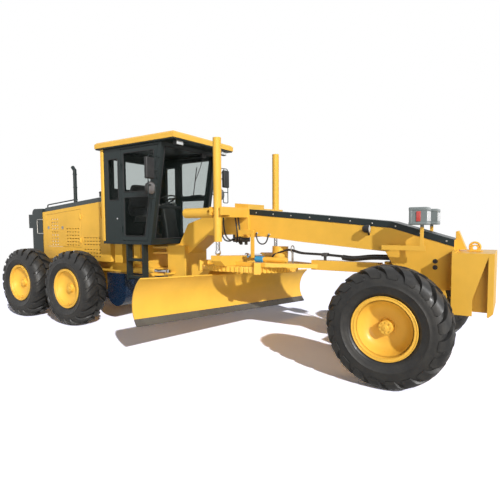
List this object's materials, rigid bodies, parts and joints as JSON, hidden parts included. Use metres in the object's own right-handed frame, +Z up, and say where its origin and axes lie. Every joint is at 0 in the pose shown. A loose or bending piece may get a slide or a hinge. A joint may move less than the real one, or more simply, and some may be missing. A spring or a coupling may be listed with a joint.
{
  "type": "motor grader",
  "caption": "Motor grader with an articulated frame, tandem rear drive, leaning front wheels and a curved blade hung under the boom.",
  "frame": {"origin": "on the ground under the middle of the machine's length, on its centre plane", "axes": "+X towards the front axle, +Y to the machine's left, +Z up"},
  "size_m": [8.93, 3.9616, 3.285],
  "materials": {
    "yellow_paint": "semi_gloss",
    "dark_paint": "satin",
    "tyre_rubber": "matte",
    "cab_glazing": "clear",
    "edge_steel": "worn",
    "rod_chrome": "polished"
  },
  "bodies": {
    "rear_frame": {"rear_frame": "yellow_paint", "tandem_axle": "yellow_paint", "engine_block": "dark_paint", "fuel_tank": "dark_paint", "hood": "yellow_paint", "hood_top": "dark_paint", "radiator_housing": "dark_paint", "exhaust_and_intake": "dark_paint", "cab_shell": "dark_paint", "cab_glass": "cab_glazing", "cab_roof": "yellow_paint", "cab_interior": "dark_paint", "steps_and_mirrors": "dark_paint"},
    "front_frame": {"front_frame": "yellow_paint", "boom_cover": "dark_paint", "saddle": "yellow_paint", "nose_block": "yellow_paint", "headlamps": "dark_paint", "front_axle": "yellow_paint"},
    "cab_door_left": {"cab_door_left": "dark_paint", "door_glass_left": "cab_glazing"},
    "cab_door_right": {"cab_door_right": "dark_paint", "door_glass_right": "cab_glazing"},
    "hood_door_left": {"hood_door_left": "yellow_paint"},
    "hood_door_right": {"hood_door_right": "yellow_paint"},
    "lean_left": {"lean_bracket_left": "yellow_paint"},
    "lean_right": {"lean_bracket_right": "yellow_paint"},
    "lean_bar": {"lean_bar": "yellow_paint"},
    "knuckle_left": {"knuckle_left": "yellow_paint"},
    "knuckle_right": {"knuckle_right": "yellow_paint"},
    "tie_rod_end": {"tie_rod_end": "yellow_paint"},
    "tie_rod": {"tie_rod": "yellow_paint"},
    "drawbar_ball": {"drawbar_ball": "yellow_paint"},
    "drawbar": {"drawbar": "yellow_paint"},
    "circle": {"circle": "yellow_paint"},
    "blade_carrier": {"blade_carrier": "yellow_paint"},
    "blade": {"mouldboard": "yellow_paint", "cutting_edge": "edge_steel"},
    "lift_barrel_left": {"lift_barrel_left": "yellow_paint"},
    "lift_barrel_right": {"lift_barrel_right": "yellow_paint"},
    "lift_rod_left": {"lift_rod_left": "rod_chrome"},
    "lift_rod_right": {"lift_rod_right": "rod_chrome"},
    "shift_barrel": {"shift_barrel": "yellow_paint"},
    "shift_rod": {"shift_rod": "rod_chrome"},
    "swing_barrel_left": {"swing_barrel_left": "yellow_paint"},
    "swing_barrel_right": {"swing_barrel_right": "yellow_paint"},
    "swing_rod_left": {"swing_rod_left": "rod_chrome"},
    "swing_rod_right": {"swing_rod_right": "rod_chrome"},
    "wheel_front_left": {"tyre_front_left": "tyre_rubber", "rim_front_left": "yellow_paint"},
    "wheel_front_right": {"tyre_front_right": "tyre_rubber", "rim_front_right": "yellow_paint"},
    "wheel_mid_left": {"tyre_mid_left": "tyre_rubber", "rim_mid_left": "yellow_paint"},
    "wheel_mid_right": {"tyre_mid_right": "tyre_rubber", "rim_mid_right": "yellow_paint"},
    "wheel_rear_left": {"tyre_rear_left": "tyre_rubber", "rim_rear_left": "yellow_paint"},
    "wheel_rear_right": {"tyre_rear_right": "tyre_rubber", "rim_rear_right": "yellow_paint"}
  },
  "joints": [
    {"name": "articulation", "type": "hinge", "parent": "rear_frame", "child": "front_frame", "pos_m": [-0.715, 0, 1.14], "axis": [0, 0, 1], "range_deg": [-25, 25]},
    {"name": "cab_door_left", "type": "hinge", "parent": "rear_frame", "child": "cab_door_left", "pos_m": [-1.195, 0.7623, 2.3], "axis": [0, 0, 1], "range_deg": [0, 85]},
    {"name": "hood_door_left", "type": "hinge", "parent": "rear_frame", "child": "hood_door_left", "pos_m": [-2.635, 0.5623, 1.7], "axis": [0, 0, -1], "range_deg": [0, 90]},
    {"name": "mid_wheel_left", "type": "hinge", "parent": "rear_frame", "child": "wheel_mid_left", "pos_m": [-2.115, 1.078, 0.675], "axis": [0, 1, 0], "continuous": true},
    {"name": "rear_wheel_left", "type": "hinge", "parent": "rear_frame", "child": "wheel_rear_left", "pos_m": [-3.635, 1.078, 0.675], "axis": [0, 1, 0], "continuous": true},
    {"name": "cab_door_right", "type": "hinge", "parent": "rear_frame", "child": "cab_door_right", "pos_m": [-1.195, -0.7623, 2.3], "axis": [0, 0, -1], "range_deg": [0, 85]},
    {"name": "hood_door_right", "type": "hinge", "parent": "rear_frame", "child": "hood_door_right", "pos_m": [-2.635, -0.5623, 1.7], "axis": [0, 0, 1], "range_deg": [0, 90]},
    {"name": "mid_wheel_right", "type": "hinge", "parent": "rear_frame", "child": "wheel_mid_right", "pos_m": [-2.115, -1.078, 0.675], "axis": [0, 1, 0], "continuous": true},
    {"name": "rear_wheel_right", "type": "hinge", "parent": "rear_frame", "child": "wheel_rear_right", "pos_m": [-3.635, -1.078, 0.675], "axis": [0, 1, 0], "continuous": true},
    {"name": "lean_left", "type": "hinge", "parent": "front_frame", "child": "lean_left", "pos_m": [3.485, 0.56, 0.64], "axis": [1, 0, 0], "range_deg": [-17, 17]},
    {"name": "lean_right", "type": "hinge", "parent": "front_frame", "child": "lean_right", "pos_m": [3.485, -0.56, 0.64], "axis": [1, 0, 0], "range_deg": [-17, 17]},
    {"name": "lean_bar", "type": "hinge", "parent": "lean_left", "child": "lean_bar", "pos_m": [3.7, 0.56, 0.88], "axis": [1, 0, 0], "range_deg": [-17, 17]},
    {"name": "steer_left", "type": "hinge", "parent": "lean_left", "child": "knuckle_left", "pos_m": [3.485, 0.888, 0.675], "axis": [0, 0, 1], "range_deg": [-45, 45]},
    {"name": "steer_right", "type": "hinge", "parent": "lean_right", "child": "knuckle_right", "pos_m": [3.485, -0.888, 0.675], "axis": [0, 0, 1], "range_deg": [-45, 45]},
    {"name": "tie_rod_end", "type": "hinge", "parent": "knuckle_left", "child": "tie_rod_end", "pos_m": [3.255, 0.888, 0.571], "axis": [0, 0, 1], "range_deg": [-45, 45]},
    {"name": "tie_rod", "type": "hinge", "parent": "tie_rod_end", "child": "tie_rod", "pos_m": [3.255, 0.838, 0.571], "axis": [1, 0, 0], "range_deg": [-11.05, 11.05]},
    {"name": "front_wheel_left", "type": "hinge", "parent": "knuckle_left", "child": "wheel_front_left", "pos_m": [3.485, 1.078, 0.675], "axis": [0, 1, 0], "continuous": true},
    {"name": "front_wheel_right", "type": "hinge", "parent": "knuckle_right", "child": "wheel_front_right", "pos_m": [3.485, -1.078, 0.675], "axis": [0, 1, 0], "continuous": true},
    {"name": "drawbar_swing", "type": "hinge", "parent": "front_frame", "child": "drawbar_ball", "pos_m": [3.235, 0, 1.2], "axis": [0, 0, 1], "range_deg": [-10, 10]},
    {"name": "drawbar_lift", "type": "hinge", "parent": "drawbar_ball", "child": "drawbar", "pos_m": [3.235, 0, 1.2], "axis": [0, 0.9983, -0.0576], "range_deg": [-25, 2.4]},
    {"name": "circle_turn", "type": "hinge", "parent": "drawbar", "child": "circle", "pos_m": [0.995, -0.00576, 1.10017], "axis": [0, -0.0576, -0.9983], "range_deg": [-57.8, 42.2]},
    {"name": "blade_tip", "type": "hinge", "parent": "circle", "child": "blade_carrier", "pos_m": [0.56898, 0.02257, 0.57767], "axis": [0.1357, 0.9891, -0.057], "range_deg": [-5, 40]},
    {"name": "blade_shift", "type": "slide", "parent": "blade_carrier", "child": "blade", "axis": [-0.1357, -0.9891, 0.057], "range_m": [-0.6, 0.6]},
    {"name": "lift_barrel_left", "type": "hinge", "parent": "front_frame", "child": "lift_barrel_left", "pos_m": [1, 0.87, 2], "axis": [1, 0, 0], "range_deg": [-33, 33]},
    {"name": "lift_rod_left", "type": "slide", "parent": "lift_barrel_left", "child": "lift_rod_left", "axis": [0, 0, 1], "range_m": [-0.97625, 0.09372]},
    {"name": "lift_barrel_right", "type": "hinge", "parent": "front_frame", "child": "lift_barrel_right", "pos_m": [1, -0.87, 2], "axis": [1, 0, 0], "range_deg": [-33, 33]},
    {"name": "lift_rod_right", "type": "slide", "parent": "lift_barrel_right", "child": "lift_rod_right", "axis": [0, 0, 1], "range_m": [-0.97625, 0.09372]},
    {"name": "shift_barrel", "type": "hinge", "parent": "drawbar", "child": "shift_barrel", "pos_m": [1.185, 0.88458, 1.25417], "axis": [1, 0, 0], "range_deg": [-43.65, 4.19]},
    {"name": "shift_rod", "type": "slide", "parent": "shift_barrel", "child": "shift_rod", "axis": [0, -0.9982, 0.0599], "range_m": [-0.356, 0.356]},
    {"name": "swing_barrel_left", "type": "hinge", "parent": "rear_frame", "child": "swing_barrel_left", "pos_m": [-1.25, 0.545, 1], "axis": [0, 0, 1], "range_deg": [-5.9, 5.9]},
    {"name": "swing_rod_left", "type": "slide", "parent": "swing_barrel_left", "child": "swing_rod_left", "axis": [0.9847, -0.1741, 0], "range_m": [-0.191, 0.191]},
    {"name": "swing_barrel_right", "type": "hinge", "parent": "rear_frame", "child": "swing_barrel_right", "pos_m": [-1.25, -0.545, 1], "axis": [0, 0, 1], "range_deg": [-5.9, 5.9]},
    {"name": "swing_rod_right", "type": "slide", "parent": "swing_barrel_right", "child": "swing_rod_right", "axis": [0.9847, 0.1741, 0], "range_m": [-0.191, 0.191]}
  ],
  "couplings": [
    {"joint": "lean_right", "follows": "lean_left", "ratio": 1},
    {"joint": "lean_bar", "follows": "lean_left", "ratio": -1},
    {"joint": "steer_right", "follows": "steer_left", "ratio": 1},
    {"joint": "tie_rod_end", "follows": "steer_left", "ratio": -1},
    {"joint": "tie_rod", "follows": "lean_left", "ratio": -0.65},
    {"joint": "lift_barrel_left", "follows": "drawbar_swing", "ratio": -3.3},
    {"joint": "lift_rod_left", "follows": "drawbar_lift", "m_per_rad": 2.2374},
    {"joint": "lift_barrel_right", "follows": "drawbar_swing", "ratio": -3.3},
    {"joint": "lift_rod_right", "follows": "drawbar_lift", "m_per_rad": 2.2374},
    {"joint": "shift_barrel", "follows": "drawbar_lift", "ratio": 1.746},
    {"joint": "shift_rod", "follows": "drawbar_swing", "m_per_rad": -2.0397},
    {"joint": "swing_barrel_left", "follows": "articulation", "ratio": 0.236},
    {"joint": "swing_rod_left", "follows": "articulation", "m_per_rad": -0.43717},
    {"joint": "swing_barrel_right", "follows": "articulation", "ratio": 0.236},
    {"joint": "swing_rod_right", "follows": "articulation", "m_per_rad": 0.43717}
  ]
}
